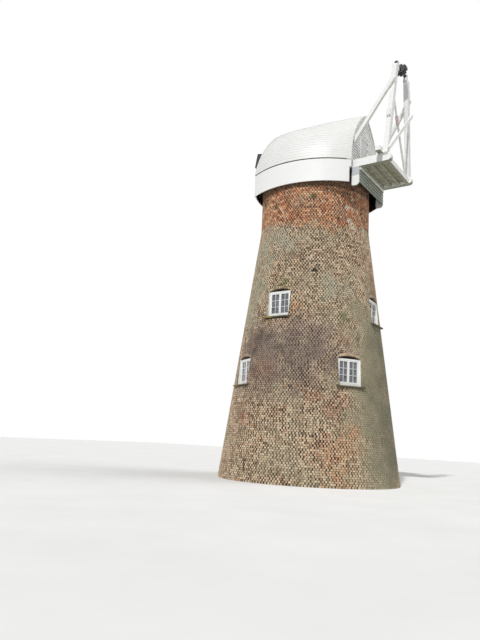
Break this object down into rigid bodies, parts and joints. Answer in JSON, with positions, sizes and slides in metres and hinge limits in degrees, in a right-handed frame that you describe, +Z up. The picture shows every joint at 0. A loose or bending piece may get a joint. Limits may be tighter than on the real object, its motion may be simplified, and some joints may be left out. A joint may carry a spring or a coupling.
{
  "type": "brick tower windmill",
  "caption": "Brick tower windmill with a boat-shaped white timber cap that turns, a fan stage behind it and a bare windshaft end in front.",
  "frame": {"origin": "centre of the tower's base, at ground level", "axes": "+Z up the tower, +X to the fan stage at the back of the cap, -X to the windshaft end"},
  "size_m": [7.1942, 6.7196, 16.14],
  "materials": {
    "brickwork": "weathered olive buff and brown brick with lichen",
    "red_brickwork": "orange red brick with dark joints",
    "floor_brick": "worn brick paving",
    "sill_stone": "weathered sill",
    "bare_timber": "old sawn timber",
    "white_timber": "white gloss paint",
    "white_boards": "white painted lapped boards",
    "tarred_board": "tarred board, nearly black",
    "grey_timber": "faded grey green paint",
    "pale_grey_timber": "pale grey paint",
    "black_iron": "black painted iron",
    "window_glass": "clear old glass"
  },
  "bodies": {
    "tower": {"ground_wall_a": "brickwork", "ground_wall_b": "brickwork", "first_wall_a": "brickwork", "first_wall_b": "brickwork", "second_wall_a": "brickwork", "second_wall_b": "brickwork", "band_wall_a": "red_brickwork", "band_wall_b": "red_brickwork", "ground_floor": "floor_brick", "first_floor": "bare_timber", "second_floor": "bare_timber", "floor_joists": "bare_timber", "window_frames": "white_timber", "window_heads": "tarred_board", "window_glass": "window_glass", "window_sills": "sill_stone", "tower_door_frame": "white_timber", "tower_door": "white_timber", "curb": "bare_timber", "curb_rail": "black_iron"},
    "cap": {"sheers": "white_timber", "cross_beams": "bare_timber", "skid_blocks": "black_iron", "cap_floor": "bare_timber", "bearing_trestles": "bare_timber", "shaft_bearings": "black_iron", "roof_left": "white_boards", "roof_right": "white_boards", "gable_wall": "white_boards", "barge_board": "white_timber", "front_wall": "white_boards", "petticoat_sides": "white_timber", "petticoat_front": "white_timber", "front_cover": "white_timber", "stage_deck": "grey_timber", "stage_fascia": "white_timber", "apron": "grey_timber", "apron_cheeks": "white_timber", "sole_beam": "white_timber", "fan_posts": "white_timber", "fan_struts": "white_timber", "fan_braces": "white_timber", "fan_bearings": "black_iron", "door_hooks": "black_iron", "door_trim": "white_timber"},
    "windshaft": {"windshaft": "black_iron"},
    "fan": {"fan_hub": "black_iron"},
    "door": {"cap_door": "pale_grey_timber", "door_straps": "black_iron"}
  },
  "joints": [
    {"name": "cap_turn", "type": "hinge", "parent": "tower", "child": "cap", "pos_m": [0, 0, 11.53], "axis": [0, 0, 1], "continuous": true},
    {"name": "windshaft_turn", "type": "hinge", "parent": "cap", "child": "windshaft", "pos_m": [0, 0, 12.9], "axis": [-0.9848, 0, 0.1736], "continuous": true},
    {"name": "fan_turn", "type": "hinge", "parent": "cap", "child": "fan", "pos_m": [3.5944, 0, 15.9], "axis": [0, 1, 0], "continuous": true},
    {"name": "cap_door_swing", "type": "hinge", "parent": "cap", "child": "door", "pos_m": [2.116, 0.31, 12.6], "axis": [0, 0, 1], "range_deg": [0, 100]}
  ]
}
